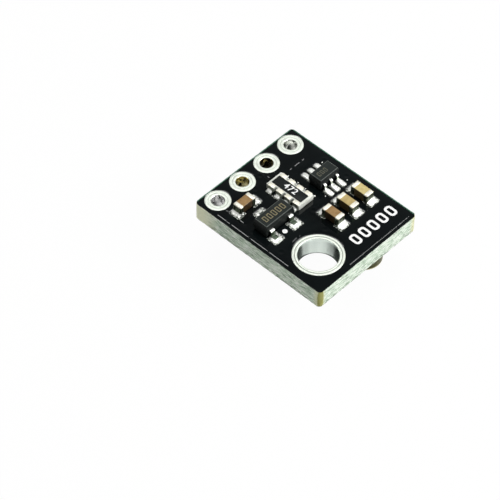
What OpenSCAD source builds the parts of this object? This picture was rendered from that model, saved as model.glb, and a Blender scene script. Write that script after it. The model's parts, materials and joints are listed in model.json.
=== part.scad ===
// Pressure sensor module: a small black circuit board with four header holes and one mounting hole,
// a regulator, a dual transistor, a resistor array and four capacitors on top, and a gel-filled
// pressure sensor underneath. The origin is on the mounting hole's axis at the board's underside,
// +X runs along the header row, +Y from the mounting hole towards the header row, and +Z is up.
// Places on the board are given from its corner beside the mounting hole, as on an assembly drawing.

/* [Board] */
// Board size along the header row
board_x = 10.2; // [10.2:0.1:16]
// Board size from the mounting hole end to the header end
board_y = 12.2; // [12.2:0.1:20]
// Finished board thickness over both soldermasks
board_t = 1.6; // [0.8:0.1:2.4]
// Radius of the routed corners
corner_r = 0.3; // [0.1:0.05:1]
// Thickness of each soldermask over bare laminate
mask_t = 0.05; // [0.045:0.005:0.08]
// Thickness of the copper foil under the soldermask
copper_t = 0.035; // [0.018:0.001:0.04]
// How far the soldermask stands up where it runs over copper
mask_relief = 0.02; // [0.01:0.005:0.03]
// Distance of the ground copper from the board's edges
edge_gap = 0.28; // [0.2:0.02:0.5]
// Gap between the ground copper and each track or land
copper_gap = 0.2; // [0.12:0.01:0.25]
// Corner radius of the soldering lands
land_r = 0.08; // [0.02:0.01:0.1]

/* [Mounting hole] */
// Mounting hole axis from the left edge
mount_x = 2.55; // [2.3:0.05:3]
// Mounting hole axis from the near edge
mount_y = 2.5; // [2.3:0.05:2.6]
// Bore of the mounting hole inside its plating
mount_bore_d = 3.0; // [2.2:0.1:3.4]
// Width of the bare tinned ring around the bore
mount_ring_w = 0.42; // [0.35:0.01:0.5]
// Gap between the tinned ring and the ground copper
mount_gap = 0.23; // [0.15:0.01:0.3]
// Where the ground copper ends beside the mounting hole, past the hole's axis
ground_end = 0.73; // [0.5:0.01:1.2]
// Thickness of the plating in all plated holes
plating_t = 0.05; // [0.03:0.005:0.08]

/* [Header holes] */
// Number of header holes
header_count = 4; // [2:1:4]
// Distance between header holes
header_pitch = 2.54; // [2:0.01:2.54]
// Bore of each header hole inside its plating
header_bore_d = 1.0; // [0.8:0.05:1.2]
// Diameter of each header pad
header_pad_d = 1.95; // [1.5:0.05:2.1]
// Header row from the far edge
header_inset = 1.07; // [1:0.01:1.4]

/* [Vias] */
// Drilled diameter of each via
via_drill_d = 0.3; // [0.2:0.05:0.3]
// Wall of the via's copper barrel
via_wall = 0.05; // [0.03:0.005:0.07]
// Diameter of the copper ring around each via
via_ring_d = 0.6; // [0.5:0.05:0.7]

/* [Regulator] */
// Regulator centre from the left edge
reg_x = 2.52; // [2.3:0.01:2.7]
// Regulator centre from the near edge
reg_y = 6.81; // [6.7:0.01:6.9]
// Moulded body length
reg_l = 2.9; // [2.4:0.05:3.4]
// Moulded body width
reg_w = 1.35; // [1.1:0.05:1.5]
// Height of the body's top over the lands
reg_h = 1.1; // [0.8:0.05:1.3]
// Distance between the two leads on one side
reg_pitch = 1.93; // [1.7:0.01:2]
// How far each lead reaches out from the body
reg_reach = 0.575; // [0.5:0.025:0.7]
// Width of each lead
reg_lead_w = 0.4; // [0.3:0.05:0.5]
// Length of each land
reg_land_l = 0.92; // [0.8:0.02:1]
// Width of each land
reg_land_w = 1.0; // [0.6:0.05:1.1]
// How far each land reaches past its lead's tip
reg_toe = 0.34; // [0.2:0.02:0.4]

/* [Dual transistor] */
// Transistor centre from the left edge
fet_x = 8.04; // [7.9:0.01:8.1]
// Transistor centre from the near edge
fet_y = 7.02; // [6.9:0.01:7.1]
// Moulded body length
fet_l = 2.0; // [1.8:0.05:2.4]
// Moulded body width
fet_w = 1.2; // [1:0.05:1.4]
// Height of the body's top over the lands
fet_h = 1.0; // [0.8:0.05:1.1]
// Distance between neighbouring leads
fet_pitch = 0.65; // [0.6:0.01:0.7]
// How far each lead reaches out from the body
fet_reach = 0.475; // [0.4:0.025:0.6]
// Width of each lead
fet_lead_w = 0.22; // [0.15:0.01:0.3]
// Length of each land
fet_land_l = 0.85; // [0.7:0.05:0.9]
// Width of each land
fet_land_w = 0.45; // [0.3:0.01:0.45]
// How far each land reaches past its lead's tip
fet_toe = 0.42; // [0.2:0.02:0.44]

/* [Leads and moulding] */
// Thickness of the leads' metal
lead_t = 0.11; // [0.09:0.01:0.13]
// Inner radius of the leads' bends
lead_bend_r = 0.07; // [0.05:0.01:0.1]
// Straight run of each lead between its body and its first bend
lead_run = 0.025; // [0:0.005:0.04]
// Depth to which each lead is held in its body
lead_root = 0.2; // [0.1:0.05:0.25]
// Gap between a moulded body and the lands
body_gap = 0.08; // [0.05:0.01:0.12]
// Draft of the moulded sides, in degrees
draft = 7; // [3:1:10]
// Bevel along the top edges of the moulded bodies
body_bevel = 0.06; // [0.02:0.01:0.1]
// Gap between a lead or chip and its land, filled with solder
solder_gap = 0.03; // [0.02:0.005:0.05]

/* [Resistor array] */
// Array centre from the left edge
array_x = 5.34; // [5.3:0.01:5.4]
// Array centre from the near edge
array_y = 7.86; // [7.8:0.01:7.9]
// Body length, along the board
array_l = 3.2; // [3:0.05:3.3]
// Body width, over the terminals
array_w = 1.6; // [1.4:0.05:1.7]
// Ceramic thickness
array_t = 0.45; // [0.35:0.05:0.6]
// Distance between neighbouring terminals
array_pitch = 0.8; // [0.7:0.01:0.8]
// Depth of the notches between terminals
notch_d = 0.3; // [0.2:0.01:0.35]
// Width of the notches between terminals
notch_w = 0.24; // [0.15:0.01:0.28]
// Thickness of the terminals' metal
terminal_t = 0.03; // [0.02:0.005:0.04]
// Width of the terminal bands seen from above
terminal_band = 0.36; // [0.3:0.01:0.4]
// Thickness of the black coating over the resistors
coating_t = 0.04; // [0.02:0.005:0.06]
// White border at each end of the coating
coating_end = 0.17; // [0.1:0.01:0.3]
// Length of each land, across the board
array_land_l = 0.62; // [0.5:0.02:0.7]
// Width of each land
array_land_w = 0.5; // [0.3:0.01:0.55]
// How far each land reaches past the array's side
array_toe = 0.25; // [0.15:0.01:0.35]

/* [Capacitors] */
// Capacitor length
cap_l = 1.6; // [1.4:0.05:2]
// Capacitor width
cap_w = 0.78; // [0.6:0.02:0.9]
// Capacitor height
cap_h = 0.8; // [0.5:0.05:0.95]
// Length of each metal end
cap_band = 0.36; // [0.2:0.02:0.45]
// Thickness of the metal ends over the ceramic
cap_end_t = 0.025; // [0.02:0.005:0.04]
// How far each land reaches past the capacitor's end
land_toe = 0.44; // [0.3:0.02:0.5]
// How far each land reaches under the capacitor's end
land_heel = 0.4; // [0.2:0.02:0.45]
// How far each land stands out at the capacitor's sides
land_side = 0.11; // [0.02:0.01:0.15]

/* [Pressure sensor] */
// Sensor centre from the left edge
sensor_x = 7.65; // [7.5:0.05:7.9]
// Sensor centre from the near edge
sensor_y = 2.5; // [2.3:0.05:4]
// How far the square ceramic base stands out past the cap's foot flange
base_margin = 0.09; // [0.05:0.01:0.3]
// Thickness of the ceramic base
base_t = 0.75; // [0.6:0.05:1]
// Solder height between the base and the board
base_gap = 0.1; // [0.06:0.01:0.15]
// Height of the metal cap over the ceramic base
cap_rise = 2.0; // [1.6:0.05:2.6]
// Outer diameter of the cap's collar
collar_d = 2.76; // [2.3:0.02:2.8]
// Wall of the collar
collar_wall = 0.22; // [0.15:0.01:0.25]
// Thickness of the cap's foot flange
flange_t = 0.35; // [0.25:0.05:0.5]
// How far the foot flange stands out from the collar
flange_out = 0.18; // [0.1:0.01:0.2]
// Round on the collar's rim
rim_r = 0.1; // [0.05:0.01:0.1]
// Depth of the gel's edge below the rim
gel_depth = 0.3; // [0.2:0.05:0.5]
// Side of the pressure die
die_side = 0.8; // [0.6:0.05:0.9]
// Side of the converter chip
chip_side = 0.6; // [0.5:0.05:0.7]

/* [Hidden] */

// Circles here come back as true circles at any count above twelve
$fn = 48;

// How far cutting shapes run past what they cut
past = 1;

// Levels of the board's layers
laminate_bottom = mask_t;
laminate_top = board_t - mask_t;
land_top = board_t;
seat = land_top + solder_gap;

// Header row, centred across the board
header_y = board_y - header_inset;
header_x0 = (board_x - (header_count - 1) * header_pitch) / 2;
header_places = [for (i = [0:header_count - 1]) [header_x0 + i * header_pitch, header_y]];
mount_ring_d = mount_bore_d + 2 * mount_ring_w;
// Bevelled lips of the plated holes
header_lip = 0.03;
mount_lip = 0.04;
// Shallow groove round the middle of the mounting hole's ring
groove_w = 0.12;
groove_d = 0.025;

// Capacitors: centre of the lands, turn of the long side, and how far the chip floated off centre
cap_places = [[2.21, 9.25, 0], [5.76, 4.03, 90], [7.33, 4.03, 90], [8.88, 4.02, 90]];
cap_floats = [[-0.12, 0.03], [-0.01, 0.01], [-0.06, 0], [-0.08, 0]];
cap_colours = ["peru", "peru", "burlywood", "wheat"];
// Ceramic inside the metal ends
cap_core = [cap_l - 2 * cap_end_t, cap_w - 2 * cap_end_t, cap_h - 2 * cap_end_t];
cap_edge_r = 0.07;
cap_land_w = cap_w + 2 * land_side;
// Centre of each land from the middle of its capacitor, and its length
cap_land_c = cap_l / 2 + (land_toe - land_heel) / 2;
cap_land_l = land_toe + land_heel;

// Vias, from the board's corner. The first ones join the ground copper of both sides, and the last
// stands between two header holes.
ground_vias = 4;
via_places = [[0.88, 4.55], [4.62, 3.75], [3.9, 9.95], [0.85, 7.2], [5.35, 5.55], [9.45, 6.1],
              [9.45, 8.3], [header_places[1][0] + header_pitch / 2, header_y - 0.53]];

// Tracks under the top soldermask: width, then corner points from the board's corner
supply_w = 0.55;
rail_w = 0.4;
signal_w = 0.25;
top_tracks = [
    [supply_w, [header_places[0], [header_places[0][0], 8.375], [reg_x, 8.375]]],
    [rail_w, [[reg_x + reg_pitch / 2, 5.5], [4.2, 5.0], [4.6, 4.85], [9.0, 4.85]]],
    [signal_w, [header_places[header_count - 1], [header_places[header_count - 1][0], 9.88],
                [8.6, 9.57], [6.95, 9.57], [6.35, 9.06]]],
    [signal_w, [[7.4, 9.57], [7.4, 8.2]]],
    [signal_w, [[fet_x, 5.6], [fet_x, 4.85]]],
    [signal_w, [[7.3, 5.85], [6.85, 5.85], [6.35, 6.5]]],
    [signal_w, [[8.7, 5.85], [9.2, 5.85], via_places[5]]],
    [signal_w, [[8.7, 8.25], [9.2, 8.25], via_places[6]]],
    [signal_w, [[4.5, 6.7], [4.5, 5.2]]],
    [signal_w, [[5.15, 9.0], via_places[7]]],
    [signal_w, [[5.35, 4.9], via_places[4]]]];

// Tracks under the bottom soldermask
bottom_tracks = [
    [rail_w, [via_places[4], [5.35, 4.6], [6.6, 3.4]]],
    [signal_w, [via_places[5], [9.45, 3.8], [8.8, 3.5]]],
    [signal_w, [via_places[6], [9.6, 7.6], [9.75, 2.1], [8.8, 1.6]]],
    [signal_w, [via_places[7], [5.1, 9.4], [3.6, 7.8], [3.6, 5.6], [5.9, 3.3], [6.3, 1.6]]]];

// Sensor stack, measured downwards from the board's underside
base_top = base_gap + base_t;
rim = base_top + cap_rise;
collar_r = collar_d / 2;
cavity_r = collar_r - collar_wall;
flange_r = collar_r + flange_out;
base_side = 2 * (flange_r + base_margin);
base_corner_r = 0.15;
// Half-round groove in the base's side over each land, and how far it comes up that side
castellation_r = 0.15;
castellation_h = base_t / 2;
// Lands under the base, reaching out past its sides by their toe
sensor_land = [1.2, 0.8];
sensor_toe = 0.2;
sensor_land_x = base_side / 2 + sensor_toe - sensor_land[0] / 2;
sensor_land_y = base_side / 2 - 0.5;
// Die on its pedestal and converter chip on the base, side by side inside the cap
pedestal_t = 0.3;
die_t = 0.35;
chip_t = 0.25;
chip_gap = 0.12;
die_x = -(chip_gap + chip_side) / 2;
chip_x = (die_side + chip_gap) / 2;
die_top = pedestal_t + die_t;
// Bond wires, and how far their ends stand in from the chips' edges and the cap's wall
wire_t = 0.04;
wire_count = 3;
wire_pitch = 0.15;
wire_inset = 0.1;

// Point on the board, given from its corner, in the module's own frame
function at(p) = [p[0] - mount_x, p[1] - mount_y];

// Rectangle with rounded corners, centred on the origin
module rounded_rect(size, r) {
    square([size[0] - 2 * r, size[1]], center = true);
    square([size[0], size[1] - 2 * r], center = true);
    for (x = [-1, 1], y = [-1, 1])
        translate([x * (size[0] / 2 - r), y * (size[1] / 2 - r)]) circle(r);
}

// Block with all edges rounded, centred in x and y and standing on z = 0
module rounded_block(size, r) {
    intersection() {
        linear_extrude(size[2]) rounded_rect([size[0], size[1]], r);
        translate([0, size[1] / 2, size[2] / 2]) rotate([90, 0, 0])
            linear_extrude(size[1]) rounded_rect([size[0], size[2]], r);
        translate([-size[0] / 2, 0, size[2] / 2]) rotate([90, 0, 90])
            linear_extrude(size[0]) rounded_rect([size[1], size[2]], r);
    }
}

// Outline of the board, drawn in from its edges by inset
module board_outline(inset = 0) {
    r = max(corner_r, 0.05);
    translate(at([board_x / 2, board_y / 2]))
        rounded_rect([board_x - 2 * inset, board_y - 2 * inset], r);
}

// One copper track through its corner points, with round ends and corners
module track(width, points) {
    for (i = [0:len(points) - 2]) {
        a = at(points[i]);
        b = at(points[i + 1]);
        translate(a) rotate(atan2(b[1] - a[1], b[0] - a[0]))
            translate([0, -width / 2]) square([norm(b - a), width]);
        translate(b) circle(width / 2);
    }
    translate(at(points[0])) circle(width / 2);
}

module tracks(list, extra = 0) {
    for (t = list) track(t[0] + 2 * extra, t[1]);
}

// One land, grown by extra on every side
module land(size, extra = 0) {
    rounded_rect([size[0] + 2 * extra, size[1] + 2 * extra], land_r + extra);
}

// Two lands of one capacitor, along x
module cap_lands(extra = 0) {
    for (s = [-1, 1])
        translate([s * cap_land_c, 0]) land([cap_land_l, cap_land_w], extra);
}

// Places of the regulator's leads: along x, and which side of the body
reg_leads = [[-reg_pitch / 2, -1], [reg_pitch / 2, -1], [0, 1]];
// Places of the transistor's leads, numbered round the body
fet_leads = [for (i = [-1:1]) [i * fet_pitch, -1], for (i = [1:-1:-1]) [i * fet_pitch, 1]];

// Lands of a moulded package, whose outer ends lie at the distance outer from its middle
module lead_lands(centre, leads, size, outer, extra = 0) {
    translate(at(centre)) for (l = leads)
        translate([l[0], l[1] * (outer - size[1] / 2)]) land(size, extra);
}

module array_lands(extra = 0) {
    translate(at([array_x, array_y])) for (s = [-1, 1], i = [-1.5:1.5])
        translate([s * (array_w / 2 + array_toe - array_land_l / 2), i * array_pitch])
            land([array_land_l, array_land_w], extra);
}

// Distance of the outer ends of the packages' lands from their middle
reg_outer = reg_w / 2 + reg_reach + reg_toe;
fet_outer = fet_w / 2 + fet_reach + fet_toe;

// All lands on the top side
module top_land_outlines(extra = 0) {
    lead_lands([reg_x, reg_y], reg_leads, [reg_land_w, reg_land_l], reg_outer, extra);
    lead_lands([fet_x, fet_y], fet_leads, [fet_land_w, fet_land_l], fet_outer, extra);
    array_lands(extra);
    for (c = cap_places) translate(at(c)) rotate(c[2]) cap_lands(extra);
}

// All lands on the bottom side
module bottom_land_outlines(extra = 0) {
    translate(at([sensor_x, sensor_y])) for (x = [-1, 1], y = [-1, 1])
        translate([x * sensor_land_x, y * sensor_land_y]) land(sensor_land, extra);
}

// Tinned rings of all plated holes
module ring_outlines(extra = 0) {
    for (p = header_places) translate(at(p)) circle(header_pad_d / 2 + extra);
    circle(mount_ring_d / 2 + extra);
}

// Copper of one side: tracks in a ground area that keeps clear of tracks and lands, and of the corner
// beside the mounting hole, where it would be a thin strip
module copper_outline(list) {
    difference() {
        union() {
            difference() {
                board_outline(edge_gap);
                tracks(list, copper_gap);
                for (p = header_places) translate(at(p)) circle(header_pad_d / 2 + copper_gap);
                circle(mount_ring_d / 2 + mount_gap);
                translate(at([0, 0])) square([mount_x + ground_end, mount_y + ground_end]);
                children();
                for (i = [ground_vias:len(via_places) - 1]) translate(at(via_places[i]))
                    circle(via_ring_d / 2 + copper_gap);
            }
            tracks(list);
            for (p = via_places) translate(at(p)) circle(via_ring_d / 2);
        }
        ring_outlines();
    }
}

module top_copper_outline() {
    difference() {
        copper_outline(top_tracks) top_land_outlines(copper_gap);
        top_land_outlines();
    }
}

module bottom_copper_outline() {
    difference() {
        copper_outline(bottom_tracks) bottom_land_outlines(copper_gap);
        bottom_land_outlines();
    }
}

// Glass-fibre laminate with all holes drilled
module substrate() {
    color("darkseagreen") difference() {
        translate([0, 0, laminate_bottom]) linear_extrude(laminate_top - laminate_bottom)
            board_outline();
        translate([0, 0, -past]) {
            cylinder(board_t + 2 * past, d = mount_bore_d + 2 * plating_t);
            for (p = header_places) translate(at(p))
                cylinder(board_t + 2 * past, d = header_bore_d + 2 * plating_t);
            for (p = via_places) translate(at(p)) cylinder(board_t + 2 * past, d = via_drill_d);
        }
    }
}

module copper_top() {
    color("sienna") translate([0, 0, laminate_top]) linear_extrude(copper_t) top_copper_outline();
}

module copper_bottom() {
    color("sienna") translate([0, 0, laminate_bottom - copper_t]) linear_extrude(copper_t)
        bottom_copper_outline();
}

module soldermask_top() {
    color([0.07, 0.08, 0.08]) difference() {
        union() {
            translate([0, 0, laminate_top]) linear_extrude(mask_t) board_outline();
            translate([0, 0, board_t - mask_t / 2]) linear_extrude(mask_t / 2 + mask_relief)
                top_copper_outline();
        }
        translate([0, 0, laminate_top]) linear_extrude(copper_t) top_copper_outline();
        translate([0, 0, laminate_top - past]) linear_extrude(mask_t + mask_relief + 2 * past) {
            top_land_outlines();
            ring_outlines();
        }
    }
}

module soldermask_bottom() {
    color([0.07, 0.08, 0.08]) difference() {
        linear_extrude(mask_t) board_outline();
        translate([0, 0, laminate_bottom - copper_t]) linear_extrude(2 * copper_t)
            bottom_copper_outline();
        translate([0, 0, -past]) linear_extrude(mask_t + 2 * past) {
            bottom_land_outlines();
            ring_outlines();
        }
    }
}

// Plated hole with a flat ring on both sides, turned about its own axis
module plated_hole(bore_d, ring_d, lip) {
    bore_r = bore_d / 2;
    wall_r = bore_r + plating_t;
    rotate_extrude() difference() {
        polygon([[bore_r, lip], [bore_r + lip, 0], [ring_d / 2, 0], [ring_d / 2, mask_t],
                 [wall_r, mask_t], [wall_r, laminate_top], [ring_d / 2, laminate_top],
                 [ring_d / 2, board_t], [bore_r + lip, board_t], [bore_r, board_t - lip]]);
        children();
    }
}

module header_hole(i) {
    color("gainsboro") translate(at(header_places[i - 1]))
        plated_hole(header_bore_d, header_pad_d, header_lip);
}

module mounting_hole_plating() {
    cutter_r = (groove_w * groove_w / 4 + groove_d * groove_d) / (2 * groove_d);
    color("gainsboro") plated_hole(mount_bore_d, mount_ring_d, mount_lip)
        translate([(mount_bore_d + mount_ring_w) / 2, board_t - groove_d + cutter_r])
            circle(cutter_r);
}

module via_barrels() {
    color("sienna") for (p = via_places) translate(at(p)) difference() {
        translate([0, 0, laminate_bottom]) cylinder(laminate_top - laminate_bottom, d = via_drill_d);
        translate([0, 0, -past]) cylinder(board_t + 2 * past, d = via_drill_d - 2 * via_wall);
    }
}

module lands_top() {
    color("silver") translate([0, 0, laminate_top]) linear_extrude(mask_t) top_land_outlines();
}

module lands_bottom() {
    color("silver") linear_extrude(mask_t) bottom_land_outlines();
}

// Half-width of a moulded side at height z, for a body parted at height part
function drafted(half, z, part) = half - abs(z - part) * tan(draft);

// Section across a moulded body: widest where it parts, with drafted sides and bevelled top edges
module moulded_section(half, bottom, part, top) {
    shoulder = top - body_bevel;
    polygon([[-drafted(half, bottom, part), bottom], [drafted(half, bottom, part), bottom],
             [half, part], [drafted(half, shoulder, part), shoulder],
             [drafted(half, shoulder, part) - body_bevel, top],
             [body_bevel - drafted(half, shoulder, part), top],
             [-drafted(half, shoulder, part), shoulder], [-half, part]]);
}

// Moulded body on the lands, parted at the middle of its leads
module moulded_body(size, part) {
    intersection() {
        translate([0, size[1], 0]) rotate([90, 0, 0]) linear_extrude(2 * size[1])
            moulded_section(size[0] / 2, body_gap, part, size[2]);
        translate([-size[0], 0, 0]) rotate([90, 0, 90]) linear_extrude(2 * size[0])
            moulded_section(size[1] / 2, body_gap, part, size[2]);
    }
}

// Quarter of a ring, in the quadrant that x and y name by their signs
module quarter_ring(r_in, r_out, x, y) {
    intersection() {
        difference() {
            circle(r_out);
            circle(r_in);
        }
        translate([x > 0 ? 0 : -r_out, y > 0 ? 0 : -r_out]) square(r_out);
    }
}

// Side view of a gull-wing lead: out of the body at x = 0, down past a bend, and out along a foot
// whose tip is at x = reach. Its upper run lies at height exit, the foot on y = 0.
lead_leg = lead_run + lead_bend_r;
lead_heel = lead_leg + lead_t + lead_bend_r;

module lead_section(reach, exit) {
    r_out = lead_bend_r + lead_t;
    translate([-lead_root, exit]) square([lead_root + lead_run, lead_t]);
    translate([lead_run, exit - lead_bend_r]) quarter_ring(lead_bend_r, r_out, 1, 1);
    translate([lead_leg, r_out]) square([lead_t, exit - lead_bend_r - r_out]);
    translate([lead_heel, r_out]) quarter_ring(lead_bend_r, r_out, -1, -1);
    translate([lead_heel, 0]) square([reach - lead_heel, lead_t]);
}

// One lead of a body of the given width, standing just over its land
module gull_lead(place, body_w, reach, lead_w, exit) {
    translate([place[0], place[1] * body_w / 2, solder_gap]) rotate(place[1] * 90)
        translate([0, lead_w / 2, 0]) rotate([90, 0, 0]) linear_extrude(lead_w)
            lead_section(reach, exit - solder_gap);
}

// Height of the curved face of solder at share t of the way from a land's edge to the metal
function meniscus(h, t) = h * (1 - sqrt(1 - t * t));
fillet_steps = 5;
// Thickness of the solder where it ends, and the bare border of its land outside it
solder_film = 0.015;
solder_edge = 0.02;
// How far the crest of the solder stands out round a lead
crest_w = 0.03;
// Share of a chip's height that its solder climbs
cap_climb = 0.4;
array_climb = 0.6;

// Section of a solder joint: thin at the land's edges a[0] and a[1], height h over c[0] to c[1]
module solder_section(a, c, h) {
    rise = h - solder_film;
    polygon(concat(
        [[a[0], 0]],
        [[a[1], 0]],
        [for (i = [0:fillet_steps]) let (t = i / fillet_steps)
            [a[1] + (c[1] - a[1]) * t, solder_film + meniscus(rise, t)]],
        [for (i = [fillet_steps:-1:0]) let (t = i / fillet_steps)
            [a[0] + (c[0] - a[0]) * t, solder_film + meniscus(rise, t)]]));
}

// Solder on one land, wetting up to height h round the metal that stands on cx by cy
module solder_joint(land_x, land_y, cx, cy, h) {
    intersection() {
        translate([0, land_y[1], 0]) rotate([90, 0, 0])
            linear_extrude(land_y[1] - land_y[0]) solder_section(land_x, cx, h);
        translate([land_x[0], 0, 0]) rotate([90, 0, 90])
            linear_extrude(land_x[1] - land_x[0]) solder_section(land_y, cy, h);
    }
}

// Height at which the leads come out of their bodies
reg_exit = 0.52;
fet_exit = 0.5;

module regulator_body() {
    color("dimgray") translate(concat(at([reg_x, reg_y]), [land_top])) difference() {
        moulded_body([reg_l, reg_w, reg_h], reg_exit + lead_t / 2);
        for (l = reg_leads) gull_lead(l, reg_w, reg_reach, reg_lead_w, reg_exit);
    }
}

module regulator_lead(i) {
    color("gainsboro") translate(concat(at([reg_x, reg_y]), [land_top]))
        gull_lead(reg_leads[i - 1], reg_w, reg_reach, reg_lead_w, reg_exit);
}

module transistor_body() {
    color("dimgray") translate(concat(at([fet_x, fet_y]), [land_top])) difference() {
        moulded_body([fet_l, fet_w, fet_h], fet_exit + lead_t / 2);
        for (l = fet_leads) gull_lead(l, fet_w, fet_reach, fet_lead_w, fet_exit);
    }
}

module transistor_lead(i) {
    color("gainsboro") translate(concat(at([fet_x, fet_y]), [land_top]))
        gull_lead(fet_leads[i - 1], fet_w, fet_reach, fet_lead_w, fet_exit);
}

// Solder under and round the feet of the leads of a package, on lands that end at outer
module lead_solder(leads, body_w, reach, lead_w, land_size, outer) {
    half = land_size[0] / 2 - solder_edge;
    crest = lead_w / 2 + crest_w;
    leg = body_w / 2 + lead_leg;
    tip = body_w / 2 + reach;
    for (l = leads) translate([l[0], 0, 0]) rotate(l[1] > 0 ? 0 : 180)
        solder_joint([-half, half], [outer - land_size[1] + solder_edge, outer - solder_edge],
                     [-crest, crest], [leg - crest_w, tip + crest_w], solder_gap + lead_t);
}

module regulator_solder() {
    color("lightgray") translate(concat(at([reg_x, reg_y]), [land_top])) difference() {
        lead_solder(reg_leads, reg_w, reg_reach, reg_lead_w, [reg_land_w, reg_land_l], reg_outer);
        for (l = reg_leads) gull_lead(l, reg_w, reg_reach, reg_lead_w, reg_exit);
    }
}

module transistor_solder() {
    color("lightgray") translate(concat(at([fet_x, fet_y]), [land_top])) difference() {
        lead_solder(fet_leads, fet_w, fet_reach, fet_lead_w, [fet_land_w, fet_land_l], fet_outer);
        for (l = fet_leads) gull_lead(l, fet_w, fet_reach, fet_lead_w, fet_exit);
    }
}

// Ceramic of the array, with a notch at every gap between terminals
module array_ceramic_outline() {
    difference() {
        square([array_w - 2 * terminal_t, array_l], center = true);
        for (s = [-1, 1], i = [-1:1])
            translate([s * (array_w / 2 - notch_d + notch_w / 2), i * array_pitch]) {
                circle(notch_w / 2);
                translate([s > 0 ? 0 : -notch_d, -notch_w / 2]) square([notch_d, notch_w]);
            }
    }
}

module array_place() {
    translate(concat(at([array_x, array_y]), [seat])) children();
}

module array_ceramic() {
    color("white") array_place() translate([0, 0, terminal_t]) linear_extrude(array_t)
        array_ceramic_outline();
}

// Terminals stand a little in from the notches, and the coating ends just short of their bands
terminal_inset = 0.02;
terminal_w = array_pitch - notch_w - 2 * terminal_inset;
coating_gap = 0.02;
coating_r = 0.06;

module array_coating() {
    width = array_w - 2 * (terminal_band + coating_gap);
    color([0.13, 0.14, 0.13]) array_place() translate([0, 0, terminal_t + array_t])
        linear_extrude(coating_t) rounded_rect([width, array_l - 2 * coating_end], coating_r);
}

// Terminals fold over the array's long edges, from the coating to the underside
module array_terminals() {
    color("gainsboro") array_place() for (turn = [0, 180], i = [-1.5:1.5])
        rotate(turn) translate([array_w / 2, i * array_pitch + terminal_w / 2, 0])
            rotate([90, 0, 0]) linear_extrude(terminal_w) difference() {
                translate([-terminal_band, 0]) square([terminal_band, array_t + 2 * terminal_t]);
                translate([-terminal_t - terminal_band, terminal_t])
                    square([terminal_band, array_t]);
            }
}

// Solder on the array's lands, climbing the terminals, cut away where the array stands in it
module array_solder() {
    outer = array_w / 2 + array_toe - solder_edge;
    inner = array_w / 2 + array_toe - array_land_l + solder_edge;
    half = array_land_w / 2 - solder_edge;
    crest = terminal_w / 2 - crest_w;
    height = array_t + 2 * terminal_t;
    color("lightgray") difference() {
        translate(concat(at([array_x, array_y]), [land_top])) for (turn = [0, 180], i = [-1.5:1.5])
            rotate(turn) translate([0, i * array_pitch, 0])
                solder_joint([inner, outer], [-half, half], [inner, array_w / 2], [-crest, crest],
                             solder_gap + array_climb * array_t);
        array_place() translate([0, 0, height / 2])
            cube([array_w, array_l, height], center = true);
    }
}

// Places of a capacitor, floated off its lands
module cap_place(i) {
    c = cap_places[i - 1];
    f = cap_floats[i - 1];
    translate(concat(at([c[0] + f[0], c[1] + f[1]]), [seat])) rotate(c[2]) children();
}

module cap_ceramic() {
    translate([0, 0, cap_end_t]) rounded_block(cap_core, cap_edge_r - cap_end_t);
}

module capacitor(i) {
    color(cap_colours[i - 1]) cap_place(i) cap_ceramic();
}

module capacitor_ends(i) {
    color("gainsboro") cap_place(i) difference() {
        rounded_block([cap_l, cap_w, cap_h], cap_edge_r);
        translate([0, 0, cap_h / 2])
            cube([cap_l - 2 * cap_band, 2 * cap_w, 2 * cap_h], center = true);
        cap_ceramic();
    }
}

// Solder at both ends of each capacitor, cut away where the capacitor stands in it
module capacitor_solder() {
    outer = cap_land_c + cap_land_l / 2 - solder_edge;
    inner = cap_land_c - cap_land_l / 2 + solder_edge;
    half = cap_land_w / 2 - solder_edge;
    color("lightgray") for (i = [1:4]) {
        c = cap_places[i - 1];
        f = cap_floats[i - 1];
        turned = c[2] == 0 ? f : [f[1], -f[0]];
        difference() {
            translate(concat(at(c), [land_top])) rotate(c[2]) for (s = [-1, 1])
                rotate(s > 0 ? 0 : 180) solder_joint(
                    [inner, outer], [-half, half],
                    [inner, cap_l / 2 + s * turned[0]],
                    [s * turned[1] - cap_w / 2, s * turned[1] + cap_w / 2], cap_climb * cap_h);
            cap_place(i) rounded_block([cap_l, cap_w, cap_h], cap_edge_r);
        }
    }
}

// Sensor stack seen from below: depth 0 is the board's underside
module sensor_place() {
    translate(at([sensor_x, sensor_y])) mirror([0, 0, 1]) children();
}

// Square base with a half-round castellation over each land
module sensor_base_block() {
    translate([0, 0, base_gap]) difference() {
        linear_extrude(base_t) rounded_rect([base_side, base_side], base_corner_r);
        for (x = [-1, 1], y = [-1, 1]) translate([x * base_side / 2, y * sensor_land_y, -past])
            cylinder(castellation_h + past, r = castellation_r);
    }
}

module sensor_base() {
    color("ivory") sensor_place() sensor_base_block();
}

// Turned metal cap: foot flange, collar and rounded rim
module sensor_cap() {
    color("darkkhaki") sensor_place() translate([0, 0, base_top]) rotate_extrude() {
        difference() {
            translate([cavity_r, 0]) square([flange_r - cavity_r, cap_rise]);
            translate([collar_r, flange_t]) square([flange_r, cap_rise]);
            translate([collar_r - rim_r, cap_rise - rim_r]) difference() {
                square(2 * rim_r);
                circle(rim_r);
            }
        }
    }
}

// One bond wire: a flat arch over span, whose far end comes down by drop below its near end
module wire_arch(span, drop) {
    r = span / 2;
    rotate([90, 0, 0]) linear_extrude(wire_t) {
        intersection() {
            difference() {
                circle(r);
                circle(r - wire_t);
            }
            translate([-r, 0]) square([2 * r, r]);
        }
        translate([r - wire_t, -drop]) square([wire_t, drop]);
    }
}

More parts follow.
